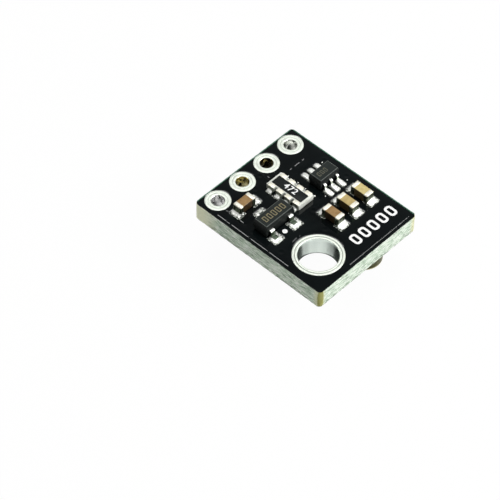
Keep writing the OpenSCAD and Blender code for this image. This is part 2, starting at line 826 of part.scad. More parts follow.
// Bond wires from the die to the converter chip and from the chip to the base
module bond_wires() {
    die_edge = die_x + die_side / 2;
    chip_edge = chip_x + chip_side / 2;
    first = chip_gap + 2 * wire_inset;
    second = cavity_r - wire_inset - (chip_edge - wire_inset);
    color("gold") sensor_place() translate([0, 0, base_top])
        for (i = [0:wire_count - 1]) translate([0, (i - (wire_count - 1) / 2) * wire_pitch, 0]) {
            translate([die_edge - wire_inset + first / 2, 0, die_top])
                wire_arch(first, die_top - chip_t);
            translate([chip_edge - wire_inset + second / 2, 0, chip_t])
                wire_arch(second, chip_t);
        }
}

module pressure_die() {
    color("slategray") sensor_place() translate([die_x, 0, base_top + pedestal_t])
        linear_extrude(die_t) square(die_side, center = true);
}

module die_pedestal() {
    color("lightblue") sensor_place() translate([die_x, 0, base_top])
        linear_extrude(pedestal_t) square(die_side, center = true);
}

module converter_chip() {
    color("slategray") sensor_place() translate([chip_x, 0, base_top])
        linear_extrude(chip_t) square(chip_side, center = true);
}

// Soft gel that fills the cap round the chips, dished by its own sag in the middle
gel_sag = 0.14;

module sensor_gel() {
    dish_r = (cavity_r * cavity_r + gel_sag * gel_sag) / (2 * gel_sag);
    color("whitesmoke") difference() {
        sensor_place() translate([0, 0, base_top]) rotate_extrude() difference() {
            square([cavity_r, cap_rise - gel_depth]);
            translate([0, cap_rise - gel_depth - gel_sag + dish_r]) circle(dish_r);
        }
        pressure_die();
        die_pedestal();
        converter_chip();
        bond_wires();
    }
}

// Solder between the sensor's base and the board, rising in the castellations
module sensor_solder() {
    outer = base_side / 2 + sensor_toe - solder_edge;
    inner = outer + 2 * solder_edge - sensor_land[0];
    half = sensor_land[1] / 2 - solder_edge;
    color("lightgray") sensor_place() difference() {
        for (x = [0, 180], y = [-1, 1]) rotate(x) translate([0, y * sensor_land_y, 0])
            solder_joint([inner, outer], [-half, half], [inner, base_side / 2],
                         [-castellation_r, castellation_r], base_gap + castellation_h);
        sensor_base_block();
    }
}

substrate();
soldermask_top();
soldermask_bottom();
copper_top();
copper_bottom();
for (i = [1:header_count]) header_hole(i);
mounting_hole_plating();
via_barrels();
lands_top();
lands_bottom();
regulator_body();
for (i = [1:3]) regulator_lead(i);
regulator_solder();
transistor_body();
for (i = [1:6]) transistor_lead(i);
transistor_solder();
array_ceramic();
array_coating();
array_terminals();
array_solder();
for (i = [1:4]) capacitor(i);
for (i = [1:4]) capacitor_ends(i);
capacitor_solder();
sensor_base();
sensor_cap();
sensor_gel();
pressure_die();
die_pedestal();
converter_chip();
bond_wires();
sensor_solder();
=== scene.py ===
# Looks of the pressure sensor module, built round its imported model.
import json
import math
import bmesh
import bpy
import numpy as np
from mathutils import Matrix, Vector, noise


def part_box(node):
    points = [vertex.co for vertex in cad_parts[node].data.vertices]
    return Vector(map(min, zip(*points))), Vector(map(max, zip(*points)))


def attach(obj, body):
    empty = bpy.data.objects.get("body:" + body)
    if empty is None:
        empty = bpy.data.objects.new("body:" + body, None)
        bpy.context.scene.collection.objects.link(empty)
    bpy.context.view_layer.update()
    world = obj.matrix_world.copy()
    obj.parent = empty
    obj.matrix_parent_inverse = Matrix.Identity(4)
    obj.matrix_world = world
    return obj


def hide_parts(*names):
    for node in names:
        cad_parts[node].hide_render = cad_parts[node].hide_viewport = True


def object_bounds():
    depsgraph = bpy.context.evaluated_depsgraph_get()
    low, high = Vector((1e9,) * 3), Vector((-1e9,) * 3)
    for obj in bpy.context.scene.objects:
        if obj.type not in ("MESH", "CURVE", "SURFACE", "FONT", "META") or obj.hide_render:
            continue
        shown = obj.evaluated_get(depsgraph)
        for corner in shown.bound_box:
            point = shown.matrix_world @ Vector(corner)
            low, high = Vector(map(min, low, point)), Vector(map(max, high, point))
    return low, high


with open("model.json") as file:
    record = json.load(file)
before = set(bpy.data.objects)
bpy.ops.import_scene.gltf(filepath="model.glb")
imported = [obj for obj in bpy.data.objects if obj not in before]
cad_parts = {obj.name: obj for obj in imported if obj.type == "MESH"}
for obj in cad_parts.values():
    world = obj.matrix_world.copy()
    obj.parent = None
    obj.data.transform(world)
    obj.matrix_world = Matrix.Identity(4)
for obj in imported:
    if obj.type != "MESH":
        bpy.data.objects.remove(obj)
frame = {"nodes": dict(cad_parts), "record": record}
nodes = frame["nodes"]
scene = bpy.context.scene
cad_box = [list(corner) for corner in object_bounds()]
MM = 0.001
# Points nearer than this, in metres, are one
same_place = 1e-7

# Levels and places of the board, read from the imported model
board_lo, board_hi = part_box("soldermask_bottom")[0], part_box("substrate")[1]
land_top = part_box("lands_top")[1].z
land_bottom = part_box("lands_bottom")[0].z
board_x = (board_hi.x - board_lo.x) / MM
board_y = (board_hi.y - board_lo.y) / MM


def on_board(x, y, z=None):
    """Point given in millimetres from the board's corner, at height z in metres."""
    return Vector((board_lo.x + x * MM, board_lo.y + y * MM, land_top if z is None else z))


# Colours and shader nodes

def linear(code):
    """Linear colour of an sRGB hex value such as e8e6dc."""
    parts = [int(code[i:i + 2], 16) / 255 for i in (0, 2, 4)]
    return [p / 12.92 if p <= 0.04045 else ((p + 0.055) / 1.055) ** 2.4 for p in parts] + [1.0]


def per_mm(size):
    """Texture scale at which one spot is about size millimetres across."""
    return 1 / (size * MM)


def add_node(tree, kind, inputs=(), out=0, **settings):
    """Adds a shader node with its settings, and values or links on its inputs; gives one output."""
    node = tree.nodes.new("ShaderNode" + kind)
    for name, value in settings.items():
        if name == "stops":
            ramp = node.color_ramp
            while len(ramp.elements) < len(value):
                ramp.elements.new(0.5)
            for element, (place, colour) in zip(ramp.elements, value):
                element.position = place
                element.color = linear(colour) if isinstance(colour, str) else [colour] * 3 + [1]
        else:
            setattr(node, name, value)
    for name, value in dict(inputs).items():
        if isinstance(value, bpy.types.NodeSocket):
            tree.links.new(value, node.inputs[name])
        else:
            node.inputs[name].default_value = value
    return node.outputs[out] if node.outputs else node


def empty_tree(holder):
    """Node tree of a material or a world, with nothing in it yet."""
    holder.use_nodes = True
    holder.node_tree.nodes.clear()
    return holder.node_tree


def start_material(name):
    """New material with an empty node tree, and the coordinates that its patterns use."""
    made = bpy.data.materials.new(name)
    tree = empty_tree(made)
    return made, tree, add_node(tree, "TexCoord", out="Object")


def finished(made, tree, surface):
    """Closes a material with its principled surface, which has the given inputs, and its output."""
    add_node(tree, "OutputMaterial", {"Surface": add_node(tree, "BsdfPrincipled", surface)})
    return made


def tinted(tree, colour, tint, value, start, end, share):
    """Colour with a tint over it, whose cover grows to share as the value goes from start to end."""
    cover = add_node(tree, "MapRange", {
        "Value": value, "From Min": start, "From Max": end, "To Min": 0.0, "To Max": share})
    return add_node(tree, "Mix", {0: cover, 6: colour, 7: tint}, 2, data_type="RGBA")


def noisy_material(name, noises, ramp, tints, reliefs, surface):
    """Material made of noises in object coordinates.
    noises: label, with spot size in millimetres, detail, and if needed stretch and further inputs
    ramp: the noise that gives the colour, and its stops
    tints: what drives each (a noise, height or facing), start, end, share, and colour or a ramp
    reliefs: noise and depth in millimetres, the broadest first
    surface: principled inputs, given as noise, low and high where a noise drives one"""
    made, tree, coords = start_material(name)
    values = {}
    for label, noise_inputs in noises.items():
        size, detail, stretch, more = (*noise_inputs, None, None)[:4]
        place = add_node(tree, "Mapping", {"Vector": coords, "Scale": stretch}) if stretch else coords
        values[label] = add_node(tree, "TexNoise", {
            "Vector": place, "Scale": per_mm(size), "Detail": detail, **(more or {})})
    colour = add_node(tree, "ValToRGB", {"Fac": values[ramp[0]]}, stops=ramp[1])
    for driver, start, end, share, tint in tints:
        if driver == "height":
            value = add_node(tree, "SeparateXYZ", {0: coords}, "Z")
        elif driver == "facing":
            value = add_node(tree, "SeparateXYZ", {0: add_node(tree, "TexCoord", out="Normal")}, "Z")
        else:
            value = values[driver]
        if isinstance(tint, str):
            layer = linear(tint)
        else:
            layer = add_node(tree, "ValToRGB", {"Fac": values[tint[0]]}, stops=tint[1])
        colour = tinted(tree, colour, layer, value, start, end, share)
    relief = {}
    for label, depth in reliefs:
        relief = {"Normal": add_node(tree, "Bump", {
            "Height": values[label], "Distance": depth * MM, "Strength": 1.0, **relief})}
    inputs = {"Base Color": colour, **relief}
    for key, value in surface.items():
        if isinstance(value, tuple) and value[0] in values:
            value = add_node(tree, "MapRange", {
                "Value": values[value[0]], "From Min": 0.3, "From Max": 0.7,
                "To Min": value[1], "To Max": value[2]})
        inputs[key] = value
    return finished(made, tree, inputs)


def laminate():
    """Glass-fibre and epoxy board, routed round: each layer of cloth shows as broken pale streaks,
    fibres tore out along the lower edge, and the corners are tinted yellowish, the near one olive."""
    made, tree, coords = start_material("routed_glass_epoxy")
    patterns = []
    # Streaks of the cloth, ends of fibre bundles and torn spots: length over height, size, detail
    for long, size, detail, roughness in (
            (6, 0.10, 6.0, 0.72), (5, 0.055, 3.0, 0.5), (4.5, 0.075, 4.0, 0.6)):
        along = add_node(tree, "Mapping", {"Vector": coords, "Scale": (1 / long, 1 / long, 1)})
        patterns.append(add_node(tree, "TexNoise", {
            "Vector": along, "Scale": per_mm(size), "Detail": detail, "Roughness": roughness}))
    streaks, bundle_ends, torn = patterns
    colour = add_node(tree, "ValToRGB", {"Fac": streaks}, stops=[
        (0.34, "687e68"), (0.44, "b4c9b3"), (0.51, "d9ebd6"), (0.60, "fcfff9")])
    colour = tinted(tree, colour, linear("fafef6"), bundle_ends, 0.57, 0.70, 0.75)
    # Most of the torn spots are low on the edge
    height = add_node(tree, "SeparateXYZ", {0: coords}, "Z")
    low = add_node(tree, "MapRange", {
        "Value": height, "From Min": 0.50 * MM, "From Max": 0.12 * MM, "To Min": 0.16, "To Max": 0.95})
    torn_share = add_node(tree, "MapRange", {
        "Value": torn, "From Min": 0.50, "From Max": 0.60, "To Min": 0.0, "To Max": 1.0})
    dark = add_node(tree, "Math", {0: low, 1: torn_share}, operation="MULTIPLY")
    colour = add_node(tree, "Mix", {0: dark, 6: colour, 7: linear("5d6a57")}, 2, data_type="RGBA")
    # Corner tints, widest low on the board: place, reach in millimetres, strength, tint and fade
    flat = add_node(tree, "VectorMath", {0: coords, 1: (1, 1, 0.25)}, "Vector", operation="MULTIPLY")
    for corner, reach, strength, tint, fade in (
            (on_board(0, board_y), 1.1, 0.95, "fcffde", 2.4),
            (on_board(board_x, 0), 0.5, 0.7, "dcd8a4", 1.6),
            (on_board(0, 0), 0.45, 0.75, "e0e3b8", 1.7),
            (on_board(0.12, 0), 0.34, 0.95, "96964f", 1.15)):
        away = add_node(tree, "VectorMath", {0: flat, 1: (corner.x, corner.y, 0.2 * MM)}, "Value",
                        operation="DISTANCE")
        rough_edge = add_node(tree, "Math", {0: torn, 1: 0.5 * reach * MM, 2: away},
                              operation="MULTIPLY_ADD")
        colour = tinted(tree, colour, linear(tint), rough_edge, fade * reach * MM, reach * MM, strength)
    normal = add_node(tree, "Bump", {"Height": streaks, "Distance": 0.05 * MM, "Strength": 1.0})
    return finished(made, tree, {
        "Base Color": colour, "Roughness": 0.7, "Specular IOR Level": 0.3, "Normal": normal})


def header_barrel(name, light, dark, level):
    """Tin in a drilled header hole: it ran down the wall in tears, with flux left between them.
    Level is the share of the wall that stays dark."""
    return noisy_material(
        name, {"tears": (0.22, 2.0, (1, 1, 1 / 2.5), {"Roughness": 0.55, "Distortion": 0.4})},
        ("tears", [(level - 0.05, dark), (level + 0.06, light)]), (),
        [("tears", 0.035)], {"Metallic": 1.0, "Roughness": 0.18})


def solder(name, steep_shade, pitted):
    """Bright reflowed solder: smooth where it ran, with dark pits of flux in its folds, fewer the
    nearer pitted is to 1. The tint for its upright parts is painted shade and reflection, darker there than
    on top."""
    return noisy_material(
        name, {"folds": (0.28, 2.0), "pits": (0.09, 2.0)},
        ("pits", [(0.35, "fcfdf9"), (pitted, "f6f8f1"), (pitted + 0.07, "4d5347")]),
        [("facing", 0.62, 0.35, 0.85, steep_shade)],
        [("folds", 0.02), ("pits", 0.0015)], {"Metallic": 1.0, "Roughness": ("folds", 0.40, 0.54)})


def tinned_lead(name, side, bend, foot):
    """Matte tin plating on a stamped and bent copper-alloy lead, with painted shade and reflection
    down its upright part, from where the height of its normal falls under bend, and the same colour
    up to foot millimetres over its land."""
    return noisy_material(
        name, {"fine": (0.07, 3.0)}, ("fine", [(0.3, "e6e9e0"), (0.7, "f8faf4")]),
        [("facing", bend, bend - 0.3, 1.0, side),
         ("height", land_top + (foot + 0.06) * MM, land_top + foot * MM, 1.0, side)],
        [("fine", 0.0012)], {"Metallic": 1.0, "Roughness": ("fine", 0.28, 0.4)})


def tinned_terminal(name, side, light_run):
    """Dipped silver terminals under plated tin: satin and a little creamy on top, with painted shade
    and reflection down their sides, and lighter runs in it."""
    return noisy_material(
        name, {"dip": (0.25, 2.0), "fine": (0.05, 2.0), "runs": (0.10, 2.0, (1, 1, 1 / 3))},
        ("dip", [(0.35, "f1f0e4"), (0.7, "e3e0d0")]),
        [("fine", 0.66, 0.76, 0.4, "9a9784"),
         ("facing", 0.8, 0.15, 1.0, ("runs", [(0.45, side), (0.68, light_run)]))],
        [("dip", 0.006), ("fine", 0.001)], {"Metallic": 1.0, "Roughness": ("dip", 0.48, 0.58)})


def fired_dielectric(name, light, dark, side):
    """Fired capacitor ceramic: smooth on top, with its cut sides darkened by painted shade."""
    return noisy_material(
        name, {"cloud": (0.25, 3.0), "layers": (0.03, 1.0, (1 / 12, 1 / 12, 1))},
        ("cloud", [(0.35, light), (0.7, dark)]), [("facing", 0.75, 0.45, 0.9, side)],
        [("layers", 0.0012)], {"Roughness": 0.34, "Specular IOR Level": 0.3})


def silicon():
    """Polished silicon with a faint printed grid of circuitry."""
    made, tree, coords = start_material("polished_silicon")
    cells = add_node(tree, "TexVoronoi", {"Vector": coords, "Scale": per_mm(0.08)}, "Distance",
                     distance="CHEBYCHEV")
    colour = add_node(tree, "ValToRGB", {"Fac": cells}, stops=[(0.3, "4c5058"), (0.5, "8d7f9a")])
    return finished(made, tree, {"Base Color": colour, "Metallic": 0.6, "Roughness": 0.22})


def printed_ink(name, light, dark, cover, roughness=0.6):
    """Screen-printed epoxy ink or a laser mark, matte, with the ground showing where it is thin."""
    return noisy_material(
        name, {"thin": (0.06, 2.0)}, ("thin", [(cover, light), (cover + 0.14, dark)]), (),
        [("thin", 0.002)], {"Roughness": roughness})


finish = {
    "laminate": laminate(),
    # Black screen-printed soldermask: a smooth glossy epoxy film with a faint orange peel
    "soldermask": noisy_material(
        "black_soldermask", {"peel": (0.35, 2.0), "cloud": (1.8, 3.0)},
        ("cloud", [(0.35, "090e0f"), (0.65, "0c1213")]), (), [("peel", 0.0009)],
        {"Roughness": ("cloud", 0.05, 0.08), "IOR": 1.5, "Specular IOR Level": 0.45}),
    # Hot-air levelled tin on copper: satin white metal, nearly even, with slow soft ripples
    "tinned_copper": noisy_material(
        "levelled_tin", {"ripples": (0.45, 2.0), "fine": (0.05, 2.0)},
        ("ripples", [(0.3, "dde3d8"), (0.7, "e8eee4")]), (),
        [("ripples", 0.002), ("fine", 0.0004)], {"Metallic": 1.0, "Roughness": ("ripples", 0.50, 0.58)}),
    # Etched copper foil, matte and slightly uneven
    "copper_foil": noisy_material(
        "etched_copper", {"fine": (0.08, 3.0)}, ("fine", [(0.35, "b87552"), (0.65, "d19a76")]), (),
        [("fine", 0.002)], {"Metallic": 1.0, "Roughness": 0.42}),
    "solder": solder("reflowed_solder", "eef0e8", 0.70),
    "tinned_lead": tinned_lead("matte_tin_lead", "b2b8ac", 0.4, -1),
    # Black epoxy filled with fine silica: matte on top, with the eroded grain of its mould, and
    # darker on the drafted sides, where the colour is painted shade
    "moulding_compound": noisy_material(
        "moulded_epoxy", {"erosion": (0.035, 3.0), "cloud": (0.6, 2.0)},
        ("erosion", [(0.35, "1b201f"), (0.7, "2a312e")]),
        [("cloud", 0.4, 0.7, 0.4, "1a1e1d"), ("facing", 0.75, 0.45, 1.0, "121615")],
        [("erosion", 0.003)], {"Roughness": 0.5, "Specular IOR Level": 0.15}),
    # Fired white alumina: dense and matte with a fine grain
    "alumina": noisy_material(
        "white_alumina", {"fine": (0.05, 3.0), "cloud": (0.4, 2.0)},
        ("cloud", [(0.35, "dde0d6"), (0.65, "f0f2ea")]), (), [("fine", 0.002)], {"Roughness": 0.5}),
    # Printed and fired dark glass over the resistor films, slightly mottled
    "resistor_coating": noisy_material(
        "fired_dark_glass", {"mottle": (0.09, 3.0)}, ("mottle", [(0.35, "111514"), (0.7, "1f2322")]),
        (), [("mottle", 0.002)], {"Roughness": 0.4, "Specular IOR Level": 0.15}),
    "tinned_terminal": tinned_terminal("dipped_tin", "afb4a6", "c4c8bc"),
    # The last colour of each fired ceramic is painted shade on its cut sides
    "brown_ceramic": fired_dielectric("brown_dielectric", "a38357", "8e6f46", "2c1f12"),
    "tan_ceramic": fired_dielectric("tan_dielectric", "c6b076", "b39d65", "45351e"),
    "cream_ceramic": fired_dielectric("cream_dielectric", "dac98d", "c8b779", "47381f"),
    # Fired off-white alumina carrier, a little speckled
    "sensor_ceramic": noisy_material(
        "carrier_alumina", {"fine": (0.06, 3.0)}, ("fine", [(0.4, "ece9dd"), (0.75, "d2cdbb")]), (),
        [("fine", 0.003)], {"Roughness": 0.55}),
    # Drawn stainless steel with an olive-brown tint, finely turned round its axis, and with a painted
    # highlight where its rim was rolled
    "stainless_cap": noisy_material(
        "drawn_stainless", {"rings": (0.03, 2.0, (1 / 20, 1 / 20, 1)), "stain": (0.6, 3.0)},
        ("stain", [(0.35, "666641"), (0.7, "46462d")]),
        [("height", -2.66 * MM, -2.76 * MM, 1.0, "efeac4")],
        [("rings", 0.0015)], {"Metallic": 1.0, "Roughness": 0.24}),
    # Soft silicone gel: white and slightly see-through, with a wet surface
    "silicone_gel": noisy_material(
        "white_silicone_gel", {"cloud": (0.5, 2.0)}, ("cloud", [(0.3, "e9ebe8"), (0.7, "f6f6f2")]), (),
        [("cloud", 0.004)],
        {"Roughness": 0.12, "IOR": 1.41, "Subsurface Weight": 0.4,
         "Subsurface Radius": (0.4 * MM, 0.4 * MM, 0.4 * MM), "Subsurface Scale": 1.0}),
    "silicon": silicon(),
    # Sawn borosilicate glass, clear with ground sides
    "pedestal_glass": noisy_material(
        "borosilicate_glass", {"ground": (0.04, 2.0)}, ("ground", [(0.0, "dfeaee"), (1.0, "dfeaee")]),
        (), [("ground", 0.002)],
        {"IOR": 1.47, "Transmission Weight": 0.7, "Roughness": ("ground", 0.1, 0.35)}),
    # Drawn gold wire, bright with fine drawing marks
    "gold_wire": noisy_material(
        "drawn_gold", {"marks": (0.02, 1.0, (1 / 8, 1, 1))},
        ("marks", [(0.3, "f0cf7a"), (0.7, "dfb253")]), (),
        [("marks", 0.001)], {"Metallic": 1.0, "Roughness": 0.25}),
}
# Walls of the four header holes, as the flux left them
header_walls = [header_barrel(*wall) for wall in (
    ("tin_tears_1", "ffffff", "474d45", 0.38), ("flux_gold_wall", "fff4bc", "3a2f12", 0.43),
    ("flux_brown_wall", "f0e4b8", "211b0e", 0.55), ("tin_tears_4", "fdfffa", "3c413a", 0.40))]
# Tin plated in the reamed mounting hole: smooth and bright, with faint marks down its wall and a
# dark band along its lower lip
barrel_wall = noisy_material(
    "bright_barrel_wall", {"marks": (0.6, 2.0, (1, 1, 1 / 12))},
    ("marks", [(0.35, "e5f0ea"), (0.65, "f5fff9")]),
    [("height", 0.10 * MM, 0.06 * MM, 0.85, "3d4440")],
    [("marks", 0.002)], {"Metallic": 1.0, "Roughness": 0.17})
# Rim of a land past the solder: white tin, with dark burnt flux on much of it
fluxed_land = noisy_material(
    "land_under_flux", {"film": (0.13, 2.0)}, ("film", [(0.49, "2d312b"), (0.54, "e6ebe1")]), (),
    [("film", 0.001)], {"Roughness": 0.35, "Specular IOR Level": 0.3})
# Solder, leads and terminals with painted shade and reflection on their upright faces
capacitor_joint = solder("reflowed_solder_with_flux_and_painted_shade", "5d6653", 0.68)
regulator_joint = solder("reflowed_solder_with_pits", "c9ccbe", 0.60)
regulator_lead = tinned_lead("matte_tin_lead_with_painted_shade", "4a5447", 0.7, 0.22)
capacitor_end = tinned_terminal("dipped_tin_with_painted_shade", "2a3223", "7b846f")
thin_mask = printed_ink("thin_mask_over_the_routed_edge", "31604a", "477a60", 0.5, 0.3)
flux_line = printed_ink("flux_in_the_groove", "9aa197", "b4bbb0", 0.5, 0.4)
# Painted highlights on the eased edges of the packages and the capacitor bodies
package_edge_highlight = printed_ink("painted_highlight_package_edge", "5c625c", "474d48", 0.5, 0.45)
ceramic_edge_highlight = printed_ink("painted_highlight_ceramic_edge", "efe4bd", "d8c494", 0.5, 0.4)
white_ink = printed_ink("white_legend_ink", "fcfdfb", "eceeea", 0.72)
amber_ink = printed_ink("laser_burnt_mark", "958a64", "3f3c2d", 0.47)
faint_ink = printed_ink("faint_laser_mark", "6f6d58", "33362f", 0.45)

for part in frame["record"]["subparts"]:
    for holder in nodes[part["node"]].material_slots:
        holder.material = finish[part["material_slot"]]
for holder in nodes["lands_top"].material_slots:
    holder.material = fluxed_land


# Modelling helpers

def only(obj):
    """Leaves one object selected and active."""
    bpy.ops.object.select_all(action="DESELECT")
    obj.select_set(True)
    bpy.context.view_layer.objects.active = obj


def editing(obj, mode="VERT", action="DESELECT"):
    only(obj)
    bpy.ops.object.mode_set(mode="EDIT")
    bpy.ops.mesh.select_mode(type=mode)
    bpy.ops.mesh.select_all(action=action)


def done():
    bpy.ops.object.mode_set(mode="OBJECT")


def added(name, primitive, **settings):
    """New object from one of Blender's primitives, with nothing else selected."""
    bpy.ops.object.select_all(action="DESELECT")
    primitive(**settings)
    obj = bpy.context.object
    obj.name = name
    return obj


def settle(obj):
    """Applies the object's place, so that it lies in its mesh."""
    only(obj)
    bpy.ops.object.transform_apply(location=True, rotation=True, scale=True)


def turn_outward():
    """Turns every face of the mesh in edit mode outward, and leaves that mode."""
    bpy.ops.mesh.select_all(action="SELECT")
    bpy.ops.mesh.normals_make_consistent(inside=False)
    done()


def smooth(obj, angle=35):
    only(obj)
    bpy.ops.object.shade_smooth_by_angle(angle=math.radians(angle))


def points_of(obj):
    flat = np.empty(len(obj.data.vertices) * 3)
    obj.data.vertices.foreach_get("co", flat)
    return flat.reshape(-1, 3)


def move_points(obj, points):
    obj.data.vertices.foreach_set("co", np.ascontiguousarray(points).ravel())
    obj.data.update()


def apply_modifier(obj, kind, **settings):
    only(obj)
    modifier = obj.modifiers.new(kind.lower(), kind)
    for name, value in settings.items():
        setattr(modifier, name, value)
    bpy.ops.object.modifier_apply(modifier=modifier.name)


def ready(obj, slot, *replaced, coat=None):
    """Gives a finished piece its material and its body, and hides the nodes that it stands for."""
    if not obj.data.materials:
        obj.data.materials.append(None)
    obj.data.materials[0] = coat or finish[slot]
    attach(obj, "root")
    if replaced:
        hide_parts(*replaced)
    return obj


def joined(name, objs):
    only(objs[0])
    for obj in objs:
        obj.select_set(True)
    bpy.ops.object.join()
    objs[0].name = name
    return objs[0]


def eased(node, name, width, segments, angle, highlight_coat=None):
    """Copy of a node, its triangles merged back into faces, whose sharp edges are eased by a small
    round of width millimetres. The eased edges take the given edge material, a painted highlight, if one is
    given."""
    obj = bpy.data.objects.new(name, nodes[node].data.copy())
    scene.collection.objects.link(obj)
    editing(obj, action="SELECT")
    bpy.ops.mesh.customdata_custom_splitnormals_clear()
    bpy.ops.mesh.remove_doubles(threshold=same_place)
    bpy.ops.mesh.dissolve_limited(angle_limit=math.radians(0.5))
    done()
    if highlight_coat:
        obj.data.materials.append(highlight_coat)
    apply_modifier(obj, "BEVEL", width=width * MM, segments=segments, limit_method="ANGLE",
                   angle_limit=math.radians(angle), use_clamp_overlap=True, material=1 if highlight_coat else -1)
    smooth(obj)
    return obj


def merged_mesh(node):
    """Mesh of a node with its doubled points merged, to be freed after use."""
    mesh = bmesh.new()
    mesh.from_mesh(nodes[node].data)
    bmesh.ops.remove_doubles(mesh, verts=mesh.verts, dist=same_place)
    return mesh


def islands(node):
    """Corners of each separate piece of a node, lowest and highest, in a fixed order."""
    mesh = merged_mesh(node)
    left = set(mesh.verts)
    found = []
    while left:
        heap = [left.pop()]
        points = []
        while heap:
            vert = heap.pop()
            points.append(vert.co.copy())
            for edge in vert.link_edges:
                other = edge.other_vert(vert)
                if other in left:
                    left.remove(other)
                    heap.append(other)
        found.append((np.min(points, axis=0), np.max(points, axis=0)))
    mesh.free()
    return sorted(found, key=lambda box: tuple(np.round(box[0], 5)))


def rounded_place(u, v, half_x, half_y, r):
    """Places of a square grid's points, from -1 to 1, in a rectangle with rounded corners."""
    m = np.maximum(np.abs(u), np.abs(v))
    safe = np.where(m > 0, m, 1)
    x, y = u / safe * half_x, v / safe * half_y
    cx = np.clip(x, r - half_x, half_x - r)
    cy = np.clip(y, r - half_y, half_y - r)
    away = np.hypot(x - cx, y - cy)
    pull = np.where((x != cx) & (y != cy), r / np.maximum(away, 1e-12), 1)
    return m * (cx + (x - cx) * pull), m * (cy + (y - cy) * pull)


def ripple(x, y, size, seed):
    """Smooth noise between -1 and 1 at points in metres, with spots of size millimetres."""
    k = per_mm(size)
    return np.array([noise.noise(Vector((a * k, b * k, seed * 7.3))) for a, b in zip(x, y)])


def close_below(obj, level):
    """Drops a sheet's open edges to a level and closes the sheet there."""
    editing(obj, "EDGE", "SELECT")
    bpy.ops.mesh.region_to_loop()
    bpy.ops.mesh.extrude_edges_move(TRANSFORM_OT_translate={"value": (0, 0, -0.01 * MM)})
    bpy.ops.transform.resize(value=(1, 1, 0), center_override=(0, 0, level))
    bpy.ops.mesh.fill()
    turn_outward()


def turned(name, centre, profile, segments):
    """Shape turned about a vertical axis from a closed profile of radius and height."""
    obj = added(name, bpy.ops.mesh.primitive_circle_add, vertices=segments, radius=profile[0][0],
                location=(centre[0], centre[1], profile[0][1]))
    settle(obj)
    editing(obj, "EDGE", "SELECT")
    for (r0, z0), (r1, z1) in zip(profile, profile[1:] + profile[:1]):
        bpy.ops.mesh.extrude_edges_move(TRANSFORM_OT_translate={"value": (0, 0, z1 - z0)})
        bpy.ops.transform.resize(value=(r1 / r0, r1 / r0, 1), center_override=(centre[0], centre[1], z1))
    bpy.ops.mesh.select_all(action="SELECT")
    bpy.ops.mesh.remove_doubles(threshold=same_place)
    turn_outward()
    smooth(obj, 50)
    return obj


# Plated holes

header_holes = [f"header_hole_{i}" for i in (1, 2, 3, 4)]
ring_places = {}
for name in header_holes + ["mounting_hole_plating"]:
    lo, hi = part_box(name)
    ring_places[name] = ((lo + hi) / 2, (hi.x - lo.x) / 2)


def hole_profile(bore, rim, upper, steps):
    """Closed profile of a plated hole: its wall in so many steps, the tinned face above, given as
    radius and rise in millimetres, the outside, and a flat face below."""
    lip = 0.04 * MM
    foot, head = land_bottom + lip, land_top - lip
    wall = [(bore, foot + (head - foot) * i / steps) for i in range(steps + 1)]
    over = [(r * MM, land_top + rise * MM) for r, rise in upper]
    outside = [(rim + out * MM, level + rise * MM) for out, level, rise in (
        (0, land_top, -0.045), (-0.02, land_top, -0.06), (-0.02, land_bottom, 0.06),
        (0, land_bottom, 0.045), (-0.015, land_bottom, 0.004))]
    return wall + over + outside + [
        (bore + 0.06 * MM, land_bottom), (bore + 0.02 * MM, land_bottom + 0.012 * MM)]


def line_faces(obj, centre, coats, zones):
    """Gives the faces in each zone, from one radius to another in millimetres, its own material. The
    first is the wall, and the second lies on the upper face only."""
    for index, (coat, (inner, outer)) in enumerate(zip(coats, zones), 1):
        lowest = land_bottom + 0.1 * (index - 1) * MM
        obj.data.materials.append(coat)
        for polygon in obj.data.polygons:
            away = math.hypot(polygon.center.x - centre.x, polygon.center.y - centre.y)
            if inner * MM < away < outer * MM and polygon.center.z > lowest:
                polygon.material_index = index


header_bore, mount_bore = 0.5 * MM, 1.5 * MM
header_face = [(0.512, -0.012), (0.530, 0.0), (0.560, 0.006), (0.640, 0.007), (0.700, 0.007),
               (0.708, 0.002), (0.722, 0.002), (0.730, 0.007), (0.820, 0.008), (0.900, 0.006),
               (0.940, 0.001), (0.968, -0.012)]
mount_face = [(1.512, -0.012), (1.530, 0.0), (1.560, 0.007), (1.655, 0.008), (1.672, 0.002),
              (1.685, -0.014), (1.718, -0.014), (1.730, 0.002), (1.750, 0.009), (1.850, 0.010),
              (1.885, 0.004), (1.905, -0.010)]
for i, name in enumerate(header_holes):
    centre, rim = ring_places[name]
    eyelet = turned(f"header_eyelet_{i + 1}", centre, hole_profile(header_bore, rim, header_face, 14), 80)
    points = points_of(eyelet)
    dx, dy = points[:, 0] - centre.x, points[:, 1] - centre.y
    reach = np.hypot(dx, dy)
    # Levelled tin runs down the wall in soft waves, and lies slightly uneven on the face
    wave = ripple(np.arctan2(dy, dx) * header_bore, points[:, 2], 0.22, i + 1)
    swell = np.where(reach < header_bore + 0.005 * MM, 1 - 0.02 * (1 + wave), 1)
    points[:, 0] = centre.x + dx * swell
    points[:, 1] = centre.y + dy * swell
    face = (reach > header_bore + 0.05 * MM) & (points[:, 2] > land_top - 0.01 * MM)
    points[:, 2] += np.where(face, 0.002 * MM * ripple(points[:, 0], points[:, 1], 0.4, i + 11), 0)
    move_points(eyelet, points)
    ready(eyelet, "tinned_copper", name)
    line_faces(eyelet, centre, [header_walls[i], flux_line], [(0, 0.507), (0.704, 0.726)])

centre, rim = ring_places["mounting_hole_plating"]
plating = turned("mounting_hole_eyelet", centre, hole_profile(mount_bore, rim, mount_face, 8), 160)
ready(plating, "tinned_copper", "mounting_hole_plating")
line_faces(plating, centre, [barrel_wall, flux_line], [(0, 1.507), (1.675, 1.725)])


# Soldermask with the relief of the copper under it

